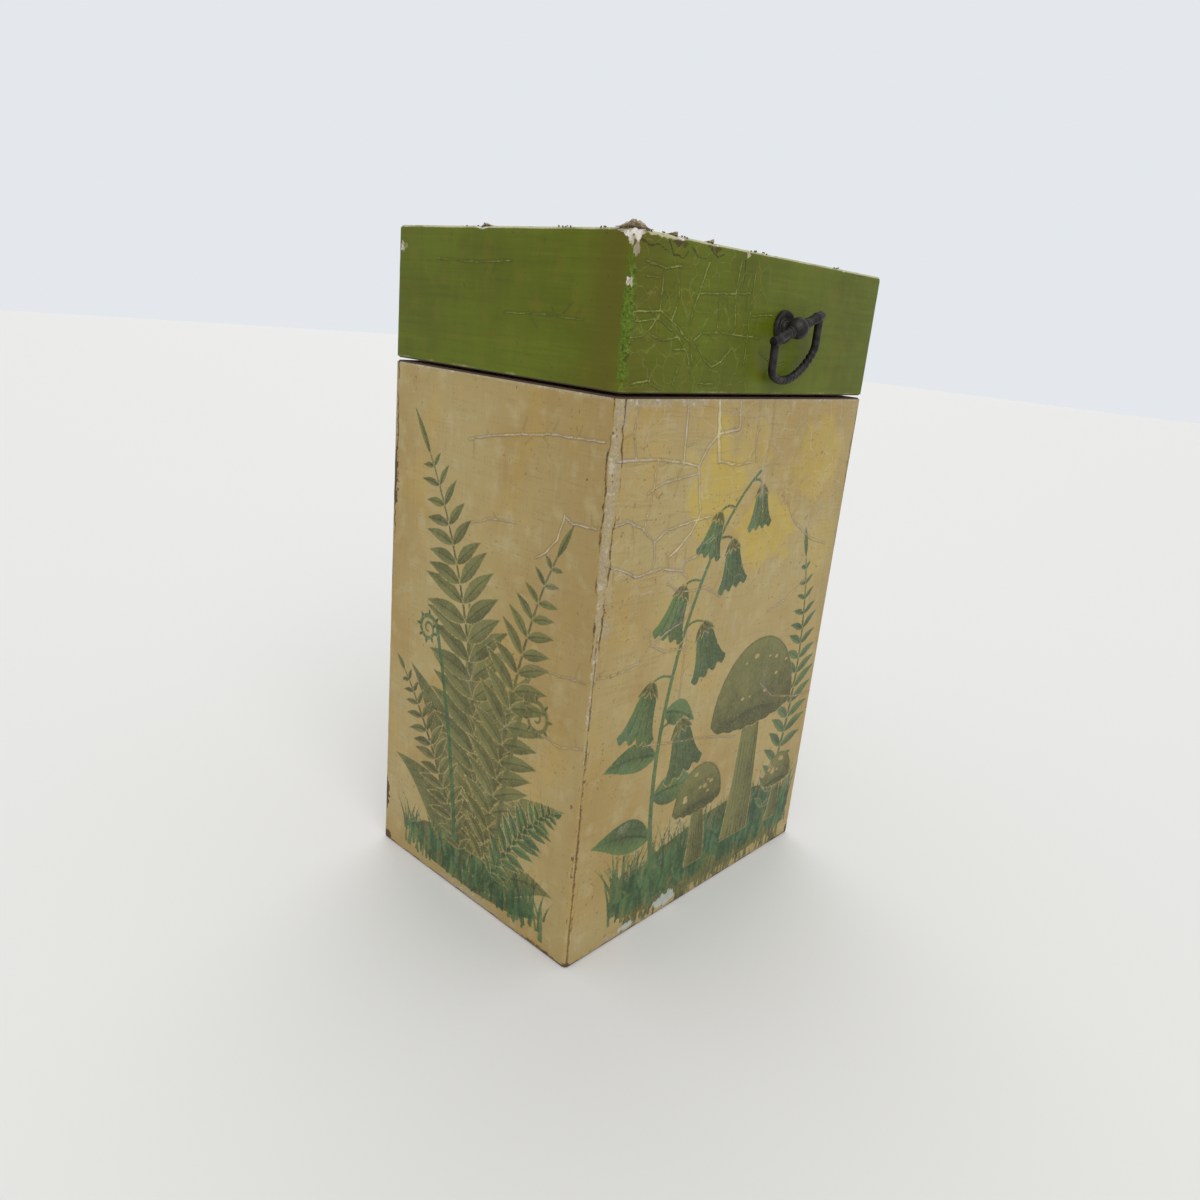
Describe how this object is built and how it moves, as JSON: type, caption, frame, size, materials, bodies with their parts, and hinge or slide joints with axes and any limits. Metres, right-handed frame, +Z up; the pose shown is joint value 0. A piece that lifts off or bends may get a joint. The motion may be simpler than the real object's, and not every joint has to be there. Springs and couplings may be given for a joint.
{
  "type": "trinket box",
  "caption": "Upright rectangular wooden keepsake box covered in printed and painted paper, with a back-hinged lid and a drop ring pull on the lid's front.",
  "frame": {"origin": "centre of the flat underside that the box stands on", "axes": "+Z up along the tall side, +X to the right along the front, +Y from the front to the hinged back"},
  "size_m": [0.124, 0.1061, 0.2076],
  "materials": {
    "bare_wood": "bare sawn softwood, aged, unvarnished",
    "printed_paper": "ochre printed paper under yellowed crackled varnish",
    "green_painted_paper": "olive green paint over wrinkled paper, satin",
    "pin_steel": "plain steel, dull",
    "hinge_brass": "aged brass, satin",
    "screw_brass": "aged brass, satin",
    "dark_bronze": "dark bronzed cast brass, worn satin",
    "fixing_steel": "plain steel, dull"
  },
  "bodies": {
    "box": {"front_board": "bare_wood", "back_board": "bare_wood", "left_board": "bare_wood", "right_board": "bare_wood", "base_board": "bare_wood", "front_print_paper": "printed_paper", "back_print_paper": "printed_paper", "left_print_paper": "printed_paper", "right_print_paper": "printed_paper", "body_corner_pins": "pin_steel", "base_pins": "pin_steel", "left_hinge_body_leaf": "hinge_brass", "right_hinge_body_leaf": "hinge_brass", "left_hinge_pin": "hinge_brass", "right_hinge_pin": "hinge_brass", "body_hinge_screws": "screw_brass"},
    "lid": {"lid_front_rail": "bare_wood", "lid_back_rail": "bare_wood", "lid_left_rail": "bare_wood", "lid_right_rail": "bare_wood", "lid_top_board": "bare_wood", "lid_top_paper": "green_painted_paper", "lid_front_paper": "green_painted_paper", "lid_back_paper": "green_painted_paper", "lid_left_paper": "green_painted_paper", "lid_right_paper": "green_painted_paper", "lid_corner_pins": "pin_steel", "lid_top_pins": "pin_steel", "left_hinge_lid_leaf": "hinge_brass", "right_hinge_lid_leaf": "hinge_brass", "lid_hinge_screws": "screw_brass", "pull_backplate": "dark_bronze", "pull_post": "dark_bronze", "pull_washer": "fixing_steel", "pull_nut": "fixing_steel"},
    "ring": {"pull_ring": "dark_bronze"}
  },
  "joints": [
    {"name": "lid_hinge", "type": "hinge", "parent": "box", "child": "lid", "pos_m": [0, 0.04905, 0.1689], "axis": [-1, 0, 0], "range_deg": [0, 180]},
    {"name": "ring_swing", "type": "hinge", "parent": "lid", "child": "ring", "pos_m": [0.0062, -0.05255, 0.1888], "axis": [-0.9397, 0, -0.342], "range_deg": [-3.5, 206.5]}
  ]
}
